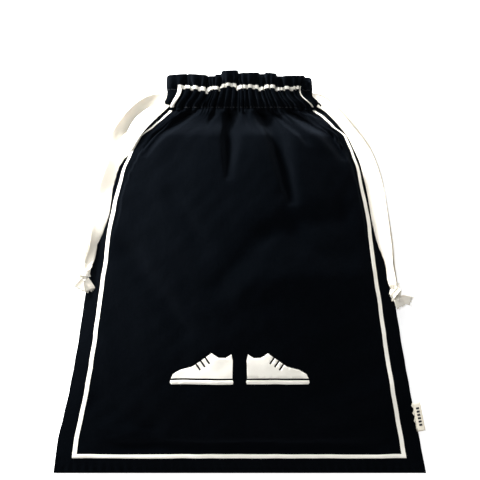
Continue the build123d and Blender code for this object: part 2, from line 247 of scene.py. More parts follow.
# ---- Materials -------------------------------------------------------------------------
class Nodes:
    """A material's node tree, with short ways to add to it."""

    def __init__(self, name):
        self.material = bpy.data.materials.new(name)
        self.material.use_nodes = True
        self.tree = self.material.node_tree
        self.shader = self.tree.nodes["Principled BSDF"]

    def add(self, kind, settings=None, **inputs):
        node = self.tree.nodes.new("ShaderNode" + kind)
        for key, value in (settings or {}).items():
            setattr(node, key, value)
        for key, value in inputs.items():
            self.put(node, key.replace("_", " "), value)
        return node

    def put(self, node, name, value):
        numbered = name[0] == "i" and name[1:].isdigit()
        socket = node.inputs[int(name[1:]) if numbered else name]
        if isinstance(value, bpy.types.NodeSocket):
            self.tree.links.new(value, socket)
        else:
            socket.default_value = value

    def set(self, **values):
        for key, value in values.items():
            self.put(self.shader, key.replace("_", " "), value)

    def math(self, operation, a, b=0.0):
        return self.add("Math", {"operation": operation}, i0=a, i1=b).outputs[0]

    def blend(self, factor, a, b):
        """Colour a where the factor is 0, b where it is 1."""
        node = self.add("Mix", {"data_type": "RGBA"})
        self.put(node, "i0", factor)
        self.put(node, "i6", a)
        self.put(node, "i7", b)
        return node.outputs[2]

    def scaled(self, vector, scale):
        node = self.add("VectorMath", {"operation": "MULTIPLY"}, i0=vector, i1=scale)
        return node.outputs[0]

    def noise(self, vector, scale, detail=3.0, rough=0.5):
        node = self.add("TexNoise", Vector=vector, Scale=scale, Detail=detail, Roughness=rough)
        return node.outputs["Fac"]

    def bump(self, height, distance, strength=1.0, normal=None):
        node = self.add("Bump", Height=height, Distance=distance, Strength=strength)
        if normal is not None:
            self.put(node, "Normal", normal)
        return node.outputs["Normal"]

    def threads(self, vector, across, along):
        """A weave's height, from the number of threads in a metre each way."""
        split = self.add("SeparateXYZ", Vector=vector)
        x = self.math("MULTIPLY", split.outputs[0], across * math.pi)
        y = self.math("MULTIPLY", split.outputs[1], along * math.pi)
        over = self.math("ABSOLUTE", self.math("SINE", x))
        under = self.math("ABSOLUTE", self.math("SINE", y))
        cell = self.math("SINE", self.math("ADD", x, y))
        turn = self.math("GREATER_THAN", cell, 0.0)
        first = self.math("MULTIPLY", over, turn)
        second = self.math("MULTIPLY", under, self.math("SUBTRACT", 1.0, turn))
        return self.math("ADD", first, second)


def flat_coordinates(nodes):
    return nodes.add("Attribute", {"attribute_name": "flat"}).outputs["Vector"]


def black_cotton():
    n = Nodes("black_cotton")
    flat = flat_coordinates(n)
    weave = n.threads(flat, 1700.0, 1500.0)
    cloudy = n.noise(flat, 26.0, 4.0, 0.6)
    slub = n.noise(n.scaled(flat, (160.0, 1400.0, 1.0)), 1.0, 2.0)
    lint = n.add("TexVoronoi", {"feature": "F1"}, Vector=flat, Scale=420.0, Randomness=1.0)
    speck = n.math("LESS_THAN", lint.outputs["Distance"], 0.045)
    dark, worn = (0.00013, 0.00033, 0.00067, 1), (0.0015, 0.0021, 0.0031, 1)
    colour = n.blend(n.math("MULTIPLY", cloudy, slub), dark, worn)
    colour = n.blend(n.math("MULTIPLY", weave, 0.35), colour, (0.0017, 0.0023, 0.0032, 1))
    colour = n.blend(n.math("MULTIPLY", speck, 0.25), colour, (0.034, 0.034, 0.034, 1))
    rough = n.math("ADD", n.math("MULTIPLY", cloudy, 0.14), 0.74)
    crinkle = n.noise(flat, 190.0, 4.0, 0.62)
    normal = n.bump(crinkle, 0.0009, 0.55)
    normal = n.bump(weave, 0.00016, 0.8, normal)
    n.set(Base_Color=colour, Roughness=rough, Normal=normal, Specular_IOR_Level=0.0028)
    n.set(Sheen_Weight=0.0215, Sheen_Roughness=0.5, Sheen_Tint=(0.55, 0.68, 0.9, 1))
    return n.material


def cotton_tape():
    n = Nodes("cotton_tape")
    flat = flat_coordinates(n)
    split = n.add("SeparateXYZ", Vector=flat)
    # A twill that turns back down the tape's middle, as on herringbone tape.
    across = n.math("ABSOLUTE", split.outputs[0])
    along = n.math("MULTIPLY", split.outputs[1], 5200.0)
    slant = n.math("ADD", n.math("MULTIPLY", across, 5200.0), along)
    twill = n.math("ABSOLUTE", n.math("SINE", slant))
    ends = n.math("ABSOLUTE", n.math("SINE", n.math("MULTIPLY", split.outputs[0], 9000.0)))
    weave = n.math("ADD", twill, n.math("MULTIPLY", ends, 0.5))
    cloudy = n.noise(flat, 120.0, 4.0, 0.6)
    fibre = n.noise(n.scaled(flat, (2600.0, 500.0, 1.0)), 1.0, 2.0)
    pale, warm = (0.82, 0.79, 0.72, 1), (0.74, 0.66, 0.51, 1)
    # The warm tone is mixed in everywhere as the tape's own colour, and more in the weave's dips as
    # painted shade.
    dip_shade = n.math("SUBTRACT", 1.0, n.math("MULTIPLY", weave, 0.66))
    colour = n.blend(n.math("MULTIPLY", dip_shade, 0.55), pale, warm)
    stained = n.math("MULTIPLY", n.math("MULTIPLY", cloudy, fibre), 0.5)
    colour = n.blend(stained, colour, (0.72, 0.665, 0.555, 1))
    rough = n.math("ADD", n.math("MULTIPLY", fibre, 0.12), 0.82)
    normal = n.bump(cloudy, 0.0008, 0.5)
    normal = n.bump(weave, 0.00022, 0.75, normal)
    n.set(Base_Color=colour, Roughness=rough, Normal=normal, Specular_IOR_Level=0.2)
    n.set(Sheen_Weight=0.08, Sheen_Roughness=0.5, Sheen_Tint=(1.0, 0.96, 0.86, 1))
    n.set(Subsurface_Weight=0.06, Subsurface_Scale=0.002, Subsurface_Radius=(1.0, 0.8, 0.5))
    return n.material


def label_tape():
    n = Nodes("label_tape")
    flat = flat_coordinates(n)
    weave = n.threads(flat, 3400.0, 2600.0)
    cloudy = n.noise(flat, 150.0, 3.0)
    colour = n.blend(n.math("MULTIPLY", weave, 0.5), (0.68, 0.62, 0.50, 1), (0.86, 0.82, 0.72, 1))
    colour = n.blend(n.math("MULTIPLY", cloudy, 0.35), colour, (0.78, 0.73, 0.62, 1))
    normal = n.bump(weave, 0.00012, 0.7)
    rough = n.math("ADD", n.math("MULTIPLY", cloudy, 0.2), 0.62)
    n.set(Base_Color=colour, Roughness=rough, Normal=normal, Specular_IOR_Level=0.3)
    return n.material


def white_ink():
    n = Nodes("white_ink")
    flat = flat_coordinates(n)
    weave = n.threads(flat, 1700.0, 1500.0)
    wear = n.noise(flat, 900.0, 4.0, 0.65)
    cloudy = n.noise(flat, 60.0, 3.0)
    thin = n.math("GREATER_THAN", n.math("ADD", wear, n.math("MULTIPLY", cloudy, 0.12)), 0.77)
    colour = n.blend(cloudy, (0.90, 0.88, 0.81, 1), (0.80, 0.765, 0.68, 1))
    # Painted shade: the ink is darkened in the weave's hollows.
    hollow_shade = n.math("MULTIPLY", n.math("SUBTRACT", 1.0, weave), 0.14)
    colour = n.blend(hollow_shade, colour, (0.56, 0.53, 0.46, 1))
    colour = n.blend(n.math("MULTIPLY", thin, 0.6), colour, (0.30, 0.29, 0.27, 1))
    rough = n.math("ADD", n.math("MULTIPLY", wear, 0.25), 0.42)
    normal = n.bump(weave, 0.0001, 0.6)
    n.set(Base_Color=colour, Roughness=rough, Normal=normal, Specular_IOR_Level=0.35)
    return n.material


def black_thread():
    n = Nodes("black_thread")
    place = n.add("TexCoord").outputs["Object"]
    across = n.add("SeparateXYZ", Vector=place).outputs[0]
    ply = n.math("ABSOLUTE", n.math("SINE", n.math("MULTIPLY", across, 9000.0)))
    colour = n.blend(ply, (0.0025, 0.0028, 0.0036, 1), (0.012, 0.013, 0.016, 1))
    rough = n.math("ADD", n.math("MULTIPLY", ply, 0.2), 0.45)
    normal = n.bump(ply, 0.0001, 0.6)
    n.set(Base_Color=colour, Roughness=rough, Normal=normal, Specular_IOR_Level=0.3)
    return n.material


def studio_floor():
    n = Nodes("studio_floor")
    place = n.add("TexCoord").outputs["Object"]
    grain = n.noise(place, 30.0, 4.0)
    colour = n.blend(grain, (0.90, 0.90, 0.90, 1), (0.92, 0.92, 0.92, 1))
    n.set(Base_Color=colour, Roughness=0.85, Specular_IOR_Level=0.1)
    n.set(Emission_Color=(1.0, 1.0, 1.0, 1), Emission_Strength=0.76)
    return n.material


COTTON, TAPE, LABEL = black_cotton(), cotton_tape(), label_tape()
INK, THREAD = white_ink(), black_thread()


# ---- Camera, light and floor -----------------------------------------------------------
def studio():
    eye = link(bpy.data.objects.new("camera", bpy.data.cameras.new("camera")))
    height, view_width = 8.0, 0.4102
    eye.location = (0.0002, 0.0285, height)
    eye.data.sensor_width = 36.0
    eye.data.lens = 36.0 * (height - 0.035) / view_width
    bpy.context.scene.camera = eye

    world = bpy.data.worlds.new("studio")
    bpy.context.scene.world = world
    bpy.context.scene.view_settings.view_transform = "Standard"
    world.use_nodes = True
    world.node_tree.nodes["Background"].inputs["Color"].default_value = (1.0, 1.0, 1.0, 1)
    world.node_tree.nodes["Background"].inputs["Strength"].default_value = 0.38

    for name, place, power, size in (
        ("window", (-0.72, 0.84, 0.56), 54.0, 0.30),
        ("fill", (-0.3, 0.4, 1.1), 13.0, 0.6),
    ):
        lamp = link(bpy.data.objects.new(name, bpy.data.lights.new(name, "AREA")))
        lamp.data.energy, lamp.data.size = power, size
        lamp.location = place
        aim = Vector((0, 0, 0.03)) - lamp.location
        lamp.rotation_euler = aim.to_track_quat("-Z", "Y").to_euler()

    half = 4.0
    steps = 9
    line = np.linspace(-half, half, steps)
    points = [(x, y, -0.0003) for y in line for x in line]
    floor = mesh_object("floor", np.array(points) / MM, grid_faces(steps, steps), studio_floor())


# ---- Gathers ---------------------------------------------------------------------------
def gather_edges(seed, count=28):
    """Where each fine gather starts on the cut, and how deep each is."""
    chance = random.Random(seed)
    sizes = (0.55, 0.8, 1.0, 1.25, 1.7)
    widths = [chance.choice(sizes) * chance.uniform(0.9, 1.1) for _ in range(count)]
    depths = [chance.uniform(0.55, 1.3) for _ in range(count)]
    share = 2 * CUT_HALF / sum(widths)
    edges = np.cumsum([0.0] + [w * share for w in widths]) - CUT_HALF
    return edges, np.array(depths)


class Gathers:
    """How one panel's cloth is drawn up at the neck."""

    def __init__(self, front):
        self.front = front
        self.out = 1.0 if front else -1.0
        self.folds = np.array(FRONT_FOLDS if front else BACK_FOLDS, float)
        self.flutes = FRONT_FLUTES if front else BACK_FLUTES
        self.edges, self.depths = gather_edges(11 if front else 12)

    def fine(self, u):
        """The fine gathers' height, from -1 to 1, and how far the cloth laps sideways."""
        i = np.clip(np.searchsorted(self.edges, u, side="right") - 1, 0, len(self.depths) - 1)
        phase = (u - self.edges[i]) / (self.edges[i + 1] - self.edges[i])
        faded = np.clip((CUT_HALF - np.abs(u)) / 5, 0, 1) * self.depths[i]
        wave = np.sin(2 * np.pi * phase) + 0.18 * np.sin(4 * np.pi * phase)
        return faded * wave, -faded * np.sin(4 * np.pi * phase)

    def large(self, u, below):
        """The large folds' height at a distance below the casing."""
        below = np.maximum(below, 0.0)
        s = np.abs(u) / CUT_HALF
        total = FOLD_SWELL * (0.2 + 0.8 * smooth(below / 4))
        total = total * np.exp(-((below / 30) ** 1.5)) * (1 - s**3)
        for start, end, depth, left, right, length in self.folds:
            t = np.clip(below / length, 0, 1)
            off = u - (start + (end - start) * t)
            width = np.where(off < 0, left, right) * (1.15 - 0.8 * t)
            onset = 0.08 + 0.92 * smooth(below / 7)
            total = total + depth * onset * (1 - t) ** 0.65 * np.exp(-(np.abs(off / width) ** 2.4))
        return total

    def neck(self, u, slit):
        """The neck's own curve across the bag at the casing's foot, with no gathers."""
        s = u / CUT_HALF
        z = NECK_MIDDLE + self.out * (slit + NECK_RISE * (1 - np.abs(s) ** 3.5))
        return NECK_HALF * s + self.flare(s, 0.0), z

    def flare(self, s, run):
        return s * s**4 * np.where(s < 0, 4.0, 11.5) * (1 - smooth(run / 11))

    def flute(self, u):
        """The frill's flutes: across, outwards and the top edge's Y."""
        left, right, top_left, top_right, depth = np.array(self.flutes).T
        x = self.spread(u, 1.0)
        i = np.clip(np.searchsorted(left, x, side="right") - 1, 0, len(left) - 1)
        middle, half = (left[i] + right[i]) / 2, (right[i] - left[i]) / 2
        t = np.clip((x - middle) / half, -1, 1)
        across = middle + half * np.sin(1.5 * t) / math.sin(1.5) * 1.03
        out = 1.3 * depth[i] * (1 - 1.9 * np.abs(t) ** 3.2)
        edge = top_left[i] + (top_right[i] - top_left[i]) * (t + 1) / 2
        edge = edge - 1.0 * np.abs(t) ** 4 - 3.6 * np.abs(t) ** 20
        return across, out, edge

    def spread(self, u, share):
        """Where a point of the cut is across the neck: the outermost cloth is gathered less."""
        s = u / CUT_HALF
        a = 0.17 * share
        return NECK_HALF * ((1 - a) * s + a * s**7)

    def mouth(self, u, v, inward=0.0):
        """The casing and the frill: points for a row of the cut at v, past BODY."""
        run = v - BODY
        slit = SLIT * smooth(run / 7)
        _, z = self.neck(u, slit)
        in_casing = np.clip(run / CASING, 0, 1)
        in_frill = np.clip((run - CASING) / FRILL, 0, 1)
        x = self.spread(u, smooth(in_casing)) + self.flare(u / CUT_HALF, run)
        wave, lap = self.fine(u)
        edge_fade = np.clip((CUT_HALF - np.abs(u)) / 8, 0, 1)
        puff = 1.5 * math.sin(math.pi * in_casing) if in_casing < 1 else 0.0
        pinch = 0.6 * math.exp(-((run / 1.3) ** 2)) + 0.6 * math.exp(-(((run - CASING) / 1.3) ** 2))
        depth = GATHER_DEPTH * (1 - 0.2 * math.sin(math.pi * in_casing)) * (1 - 0.66 * in_frill)
        out = self.large(u, 0.0) * (1 - 0.8 * in_casing) + depth * wave
        out = out + (puff - pinch) * edge_fade
        across, flute, top = self.flute(u)
        share = smooth(in_frill * 1.25) * 0.95
        x = x * (1 - share) + across * share + lap * GATHER_LAP * (1 - 0.85 * in_frill)
        ends = 1 - np.abs(u / CUT_HALF) ** 10
        lift = self.out * (z - NECK_MIDDLE) + out + flute * share - min(inward, 1.0)
        if inward > 1.2:
            closed = 1 + 0.55 * smooth((np.abs(u) * NECK_HALF / CUT_HALF - 3) / 20)
            lift = np.maximum(lift - (inward - 1.0) * ends * closed, 0.3)
        z = NECK_MIDDLE + self.out * lift
        step = through(*zip(*SEAM_STEPS), self.spread(u, 1.0)) * self.out if self.front else 0.0
        step = (step + 0.75 * wave) * smooth(in_casing * 1.1) * (1 - smooth(in_frill * 1.6))
        y = CASING_LOW + run if run <= CASING else CASING_HIGH + (top - CASING_HIGH) * in_frill
        return np.stack([x, y + step + np.zeros_like(x), z], -1)

    def start(self, u, v):
        """The body's shape before the simulation, for a row of the cut at v."""
        along = v * (CASING_LOW - BOTTOM) / BODY
        s = u / CUT_HALF
        half, seam = station_value("half", along), station_value("seam", along)
        if self.front:
            crest, power = station_value("crest", along), station_value("power", along)
            z = seam + (crest - seam) * (1 - np.abs(s) ** power)
        else:
            low, flat = station_value("low", along), station_value("flat", along) / half
            z = low + (seam - low) * np.clip((np.abs(s) - flat) / (1 - flat), 0, 1) ** 2.2
        # At the shoulders the cloth beside the seam hangs down steeply.
        beside = np.sin(np.pi * np.clip((np.abs(s) - 0.55) / 0.45, 0, 1))
        steep = 0.042 * smooth((along - 228) / 50) * beside
        x = half * (s + np.sign(s) * steep)
        neck_x, neck_z = self.neck(u, 0.0)
        share = smooth((v - 322) / 26)
        x, z = x * (1 - share) + neck_x * share, z * (1 - share) + neck_z * share
        return np.stack([x, np.full_like(x, BOTTOM + along), z], -1)

    def folded(self, points, u, v):
        """The body's rows with the large folds and the gathers just below the casing added."""
        below = (BODY - v)[:, None]
        wave, lap = self.fine(u)
        fading = np.exp(-below / GATHER_REACH)
        edge_fade = np.clip((CUT_HALF - np.abs(u)) / 8, 0, 1)
        pinch = 0.6 * np.exp(-((below / 1.3) ** 2)) * edge_fade
        folds = self.large(u[None, :], below)
        points[..., 2] += self.out * (folds + GATHER_DEPTH * wave * fading - pinch)
        points[..., 0] += lap * GATHER_LAP * fading


FRONT, BACK = Gathers(True), Gathers(False)


# ---- Cloth simulation of the body ------------------------------------------------------
SIM_COLUMNS = 160
SIM_ROWS = 92
SIM_FRAMES = 25


def start_grid(gathers):
    u = np.linspace(-CUT_HALF, CUT_HALF, SIM_COLUMNS + 1)
    return np.array([gathers.start(u, v) for v in np.linspace(0, BODY, SIM_ROWS + 1)])


def stuffing():
    """A closed lump a little smaller than the filled bag, for the cloth to rest on."""
    ring, rows = 48, []
    for along in np.linspace(30, 300, 40):
        slack = 5 + 9 * float(smooth((along - 262) / 38))
        half, seam = station_value("half", along) - slack - 4, station_value("seam", along)
        crest, low = station_value("crest", along) - slack, station_value("low", along) + slack - 3
        power, flat = station_value("power", along), min(0.95, station_value("flat", along) / half)
        angle = np.linspace(0, 2 * np.pi, ring, endpoint=False)
        x = half * np.sign(np.cos(angle)) * np.abs(np.cos(angle)) ** 0.9
        share = np.abs(x / half)
        top = seam + (crest - seam) * (1 - share**power)
        foot = low + (seam - low) * np.clip((share - flat) / (1 - flat), 0, 1) ** 2.2
        z = np.maximum(np.where(np.sin(angle) >= 0, top, foot), 1.0)
        rows.append(np.stack([x, np.full(ring, BOTTOM + along), z], -1))
    points = np.concatenate(rows)
    faces = [list(range(ring))[::-1], list(range(len(points) - ring, len(points)))]
    for j in range(len(rows) - 1):
        for i in range(ring):
            a, b = j * ring + i, j * ring + (i + 1) % ring
            faces.append([a, b, b + ring, a + ring])
    lump = mesh_object("stuffing", points, faces, COTTON)
    outwards(lump)
    return lump


def collider(obj, thickness, friction):
    obj.modifiers.new("collision", "COLLISION")
    obj.collision.thickness_outer = thickness
    obj.collision.cloth_friction = friction


def simulate_body():
    """Both panels, sewn at the sides and the bottom, relaxed over the stuffing."""
    grids = {True: start_grid(FRONT), False: start_grid(BACK)}
    index, points, flat = {}, [], []

    def key(front, j, i):
        return ("seam", j, i) if i in (0, SIM_COLUMNS) or j == 0 else (front, j, i)

    for front, grid in grids.items():
        for j in range(SIM_ROWS + 1):
            for i in range(SIM_COLUMNS + 1):
                name = key(front, j, i)
                if name in index:
                    continue
                index[name] = len(points)
                points.append(grid[j, i])
                u = -CUT_HALF + 2 * CUT_HALF * i / SIM_COLUMNS
                flat.append((u, BOTTOM + BODY * j / SIM_ROWS, 30.3 if front else 29.7))
    faces = []
    for front in (True, False):
        for j in range(SIM_ROWS):
            for i in range(SIM_COLUMNS):
                corners = [(j, i), (j, i + 1), (j + 1, i + 1), (j + 1, i)]
                face = [index[key(front, *c)] for c in corners]
                faces.append(face if front else face[::-1])
    cloth = mesh_object("body_cloth", points, faces, COTTON)
    cloth.shape_key_add(name="Basis")
    rest = cloth.shape_key_add(name="Flat")
    rest.data.foreach_set("co", (np.array(flat) * MM).ravel())
    rest.value = 0.0
    pins = cloth.vertex_groups.new(name="pins")
    for (_, j, i), n in index.items():
        from_corner = math.hypot(j * BODY / SIM_ROWS, min(i, SIM_COLUMNS - i) * 2.0)
        weight = 1.0 if j >= SIM_ROWS - 1 or j == 0 else 0.3 if j >= SIM_ROWS - 4 else 0.0
        weight = max(weight, 0.8 * float(smooth(1.2 - from_corner / 30)))
        if weight > 0.01:
            pins.add([n], weight, "REPLACE")

    half = 1000.0
    corners = [(-half, -half, 0), (half, -half, 0), (half, half, 0), (-half, half, 0)]
    ground = mesh_object("ground", corners, [(0, 1, 2, 3)], COTTON)
    lump = stuffing()
    collider(ground, 0.002, 20.0)
    collider(lump, 0.0015, 5.0)
    made = cloth.modifiers.new("cloth", "CLOTH")
    s = made.settings
    s.quality, s.mass, s.air_damping = 6, 0.15, 2.0
    s.tension_stiffness, s.compression_stiffness, s.shear_stiffness = 40.0, 20.0, 8.0
    s.bending_stiffness, s.bending_damping = 0.9, 0.8
    s.tension_damping = s.compression_damping = s.shear_damping = 8.0
    s.vertex_group_mass, s.pin_stiffness = "pins", 5.0
    s.rest_shape_key = rest
    made.collision_settings.collision_quality = 3
    made.collision_settings.distance_min = 0.0012
    made.collision_settings.use_self_collision = False
    made.point_cache.frame_end = SIM_FRAMES + 5
    for step in range(1, SIM_FRAMES + 1):
        bpy.context.scene.frame_set(step)
    settled = cloth.evaluated_get(bpy.context.evaluated_depsgraph_get())
    shape = bpy.data.meshes.new_from_object(settled)
    co = np.empty(len(shape.vertices) * 3)
    shape.vertices.foreach_get("co", co)
    co = co.reshape(-1, 3) / MM
    for front, grid in grids.items():
        for j in range(SIM_ROWS + 1):
            for i in range(SIM_COLUMNS + 1):
                grid[j, i] = co[index[key(front, j, i)]]
    bpy.data.meshes.remove(shape)
    for obj in (cloth, ground, lump):
        bpy.data.meshes.remove(obj.data)
    bpy.context.scene.frame_set(1)
    return grids[True], grids[False]


# ---- The panels' final shape -----------------------------------------------------------
CREASE_FACTOR = 3.0
# Broad soft creases on the front: from, to, half width, depth before the factor.
CREASES = [
    ((-100, 25), (-45, -52), 9.0, 1.3),
    ((92, 52), (20, 33), 11.0, 1.5),
    ((20, 33), (-22, -17), 10.0, 1.3),
    ((-20, -6), (112, -2), 14.0, -1.2),
    ((-130, -110), (-70, -135), 12.0, 1.0),
    ((60, -120), (138, -96), 12.0, -0.9),
    ((-60, 70), (-30, 20), 8.0, 0.9),
    ((38, 72), (50, 22), 9.0, 1.0),
]


def calmed(grid, start):
    """The cloth near the neck evened out across the bag, and led into the gathers."""
    v = np.linspace(0, BODY, SIM_ROWS + 1)[:, None, None]
    reach = np.arange(-14, 15)
    weight = np.exp(-((reach / 6.0) ** 2))
    padded = np.pad(grid, ((0, 0), (14, 14), (0, 0)), mode="reflect", reflect_type="odd")
    weight = weight / weight.sum()
    wide = grid.shape[1]
    even = sum(w * padded[:, 14 + k : 14 + k + wide] for k, w in zip(reach, weight))
    share = smooth((v - 150) / 110)
    grid[:] = grid * (1 - share) + even * share
    share = smooth((v - 262) / 66)
    grid[:] = grid * (1 - share) + start * share


def flanged(grid, start):
    """The cloth beside the seams kept to the shape it is sewn to, where it is stiffest."""
    u = np.linspace(-CUT_HALF, CUT_HALF, SIM_COLUMNS + 1)[None, :]
    v = np.linspace(0, BODY, SIM_ROWS + 1)[:, None]
    from_side = CUT_HALF - np.abs(u)
    side = (1 - smooth((from_side - 17) / 36)) * smooth((326 - v) / 30)
    foot = (1 - smooth((v - 10) / 34)) * np.ones_like(u)
    corner = smooth(1.45 - np.hypot(from_side, v) / 62)
    share = np.maximum(np.maximum(side, foot), corner)[..., None]
    grid[:] = grid * (1 - share) + start * share


def seam_corrected(front, back):
    """The outline and the side seams brought to their measured places."""
    heights = np.array([o[0] for o in OUTLINE], float)
    bins = np.arange(0, 313.1, 4.0)
    for side, column in ((-1, 1), (1, 2)):
        target = through(heights, [o[column] for o in OUTLINE], bins)
        widest = np.zeros(len(bins))
        for grid in (front, back):
            along = grid[..., 1] - BOTTOM
            for k, b in enumerate(bins):
                near = np.abs(along - b) < 4.0
                widest[k] = max(widest[k], (side * grid[..., 0][near]).max(initial=0))
        ratio = np.where(widest > 1, target / np.maximum(widest, 1), 1.0)
        ratio = np.convolve(np.pad(ratio, 1, mode="edge"), [0.25, 0.5, 0.25], mode="valid")
        for grid in (front, back):
            along = grid[..., 1] - BOTTOM
            scale = np.interp(along, bins, ratio)
            scale = 1 + (scale - 1) * smooth((312 - along) / 5)
            grid[..., 0] = np.where(side * grid[..., 0] > 0, grid[..., 0] * scale, grid[..., 0])
    for column in (0, -1):
        seam = front[:, column]
        lift = station_value("seam", seam[:, 1] - BOTTOM) - seam[:, 2]
        lift = np.convolve(np.pad(lift, 2, mode="edge"), np.ones(5) / 5, mode="valid")
        for grid in (front, back):
            off = np.abs(grid[..., 0] - seam[:, None, 0])
            grid[..., 2] += lift[:, None] * smooth(1 - off / 30)


def creased(front):
    x, y = front[..., 0], front[..., 1]
    for (ax, ay), (bx, by), width, depth in CREASES:
        along = np.array([bx - ax, by - ay], float)
        length = np.hypot(*along)
        t = ((x - ax) * along[0] + (y - ay) * along[1]) / length**2
        off = ((x - ax) * along[1] - (y - ay) * along[0]) / length
        fade = smooth(t * 4 + 0.6) * smooth((1 - t) * 4 + 0.6)
        front[..., 2] -= CREASE_FACTOR * depth * np.exp(-((off / width) ** 2)) * fade


TAPE_CLEAR, TAPE_REACH = 1.3, 6.5  # how far below a tape the cloth is kept, and how far beside it


def pressed_under(grid, line):
    """The cloth pushed down where a tape lies on it."""
    near = np.full(grid.shape[:2], 1e9)
    height = np.full(grid.shape[:2], 1e9)
    for p in line[::2]:
        off = np.hypot(grid[..., 0] - p[0], grid[..., 1] - p[1])
        closer = off < near
        near[closer], height[closer] = off[closer], p[2]
    limit = height - TAPE_CLEAR + 0.9 * np.maximum(0, near - TAPE_REACH)
    touched = near < TAPE_REACH + 8
    grid[..., 2] = np.where(touched, np.minimum(grid[..., 2], np.maximum(limit, 1.0)), grid[..., 2])


def resampled(grid, size, axis):
    """The grid with its samples moved to new positions along one axis, on smooth curves."""
    old = np.arange(grid.shape[axis], dtype=float)
    moved = np.moveaxis(grid, axis, 0)
    slope = np.gradient(moved, axis=0)
    i = np.clip(np.floor(size).astype(int), 0, len(old) - 2)
    t = (size - i)[(...,) + (None,) * (moved.ndim - 1)]
    a, b, da, db = moved[i], moved[i + 1], slope[i], slope[i + 1]
    out = (2 * t**3 - 3 * t**2 + 1) * a + (t**3 - 2 * t**2 + t) * da
    out = out + (3 * t**2 - 2 * t**3) * b + (t**3 - t**2) * db
    return np.moveaxis(out, 0, axis)


def normals_of(points, out):
    du = np.gradient(points, axis=1)
    dv = np.gradient(points, axis=0)
    n = np.cross(du, dv) * out
    return n / np.maximum(np.linalg.norm(n, axis=-1, keepdims=True), 1e-9)


class Cloth:
    """A panel's final surface, which anything on it is placed by."""

    def __init__(self, u, v, points, out):
        self.u, self.v, self.points, self.out = u, v, points, out
        self.normals = normals_of(points, out)

    def at(self, u, v, lift=0.0):
        u, v = np.broadcast_arrays(np.asarray(u, float), np.asarray(v, float))
        i = np.clip(np.searchsorted(self.u, u, side="right") - 1, 0, len(self.u) - 2)
        j = np.clip(np.searchsorted(self.v, v, side="right") - 1, 0, len(self.v) - 2)
        s = ((u - self.u[i]) / (self.u[i + 1] - self.u[i]))[..., None]
        t = ((v - self.v[j]) / (self.v[j + 1] - self.v[j]))[..., None]

        def mixed(a):
            low = a[j, i] * (1 - s) + a[j, i + 1] * s
            high = a[j + 1, i] * (1 - s) + a[j + 1, i + 1] * s
            return low * (1 - t) + high * t

        return mixed(self.points) + mixed(self.normals) * lift


BODY_ROWS = np.concatenate(
    [np.arange(0, 18, 2.0), np.arange(18, 262, 3.6), np.arange(262, 349.5, 1.6), [BODY]]
)
MOUTH_ROWS = BODY + np.concatenate(
    [np.arange(1.0, 14.0, 1.35), [CASING, 15.6], np.arange(17.0, 30.6, 1.3), [CASING + FRILL]]
)


def soft_noise(u, v, size, seed):
    """Smooth unevenness from -1 to 1, as a sum of crossing waves."""
    chance = random.Random(seed)
    total = np.zeros(np.broadcast(u, v).shape)
    for _ in range(9):
        turn, shift = chance.uniform(0, math.pi), chance.uniform(0, 2 * math.pi)
        k = 2 * math.pi / (size * chance.uniform(0.7, 1.5))
        total = total + np.sin(k * (u * math.cos(turn) + v * math.sin(turn)) + shift)
    return total / 4.0


def finished_panel(grid, gathers, columns):
    u = np.linspace(-CUT_HALF, CUT_HALF, columns + 1)
    body = resampled(grid, BODY_ROWS / BODY * SIM_ROWS, 0)
    body = resampled(body, (u + CUT_HALF) / (2 * CUT_HALF) * SIM_COLUMNS, 1)
    gathers.folded(body, u, BODY_ROWS)
    mouth = np.array([gathers.mouth(u, v) for v in MOUTH_ROWS])
    points = np.concatenate([body, mouth])
    v = np.concatenate([BODY_ROWS, MOUTH_ROWS])
    normals = normals_of(points, gathers.out)
    across, along = np.meshgrid(u, v)
    from_seam = np.minimum(CUT_HALF - np.abs(across), along)
    uneven = 0.55 * soft_noise(across, along, 46, 5) + 0.22 * soft_noise(across, along, 15, 6)
    uneven = uneven * smooth(from_seam / 25) * smooth((BODY - along) / 30)
    line = np.where(CUT_HALF - np.abs(across) < along, along, across)
    pucker = 0.4 * np.sin(line * 2 * math.pi / 7.5 + 1.3 * np.sin(line / 23)) * smooth(from_seam / 1.5)
    pucker = pucker * smooth(1 - from_seam / 14) * smooth((BODY - along) / 30)
    points = points + normals * (uneven + pucker)[..., None]
    points[..., 2] = np.maximum(points[..., 2], CLOTH + 0.05)
    return Cloth(u, v, points, gathers.out)


def cloth_piece(name, cloth, material, body, nodes, extra=None):
    rows, columns = cloth.points.shape[:2]
    across, along = np.meshgrid(cloth.u, cloth.v)
    flat = np.stack([across, along, np.full_like(across, cloth.out)], -1)
    points = cloth.points
    if extra is not None:
        points = np.concatenate([points, extra])
        tail = np.stack([np.broadcast_to(cloth.u, extra.shape[:2])] * 3, -1).copy()
        tail[..., 1] = cloth.v[-1] + np.arange(1, len(extra) + 1)[:, None]
        flat = np.concatenate([flat, tail])
        rows += len(extra)
    faces = grid_faces(rows, columns, flip=cloth.out < 0)
    piece = mesh_object(name, points.reshape(-1, 3), faces, material, flat.reshape(-1, 3))
    shell = piece.modifiers.new("thickness", "SOLIDIFY")
    shell.thickness, shell.offset = CLOTH * MM, -1.0
    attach(piece, body)
    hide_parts(*nodes)
    return piece


def rolled_edge(gathers, u):
    """Two rows that turn the frill's top edge inwards."""
    top = gathers.mouth(u, BODY + CASING + FRILL)
    rows = []
    for rise, inward in ((0.35, 0.5), (0.1, 1.1)):
        row = gathers.mouth(u, BODY + CASING + FRILL, inward=inward)
        row[..., 1] = top[..., 1] + rise
        rows.append(row)
    return np.array(rows)


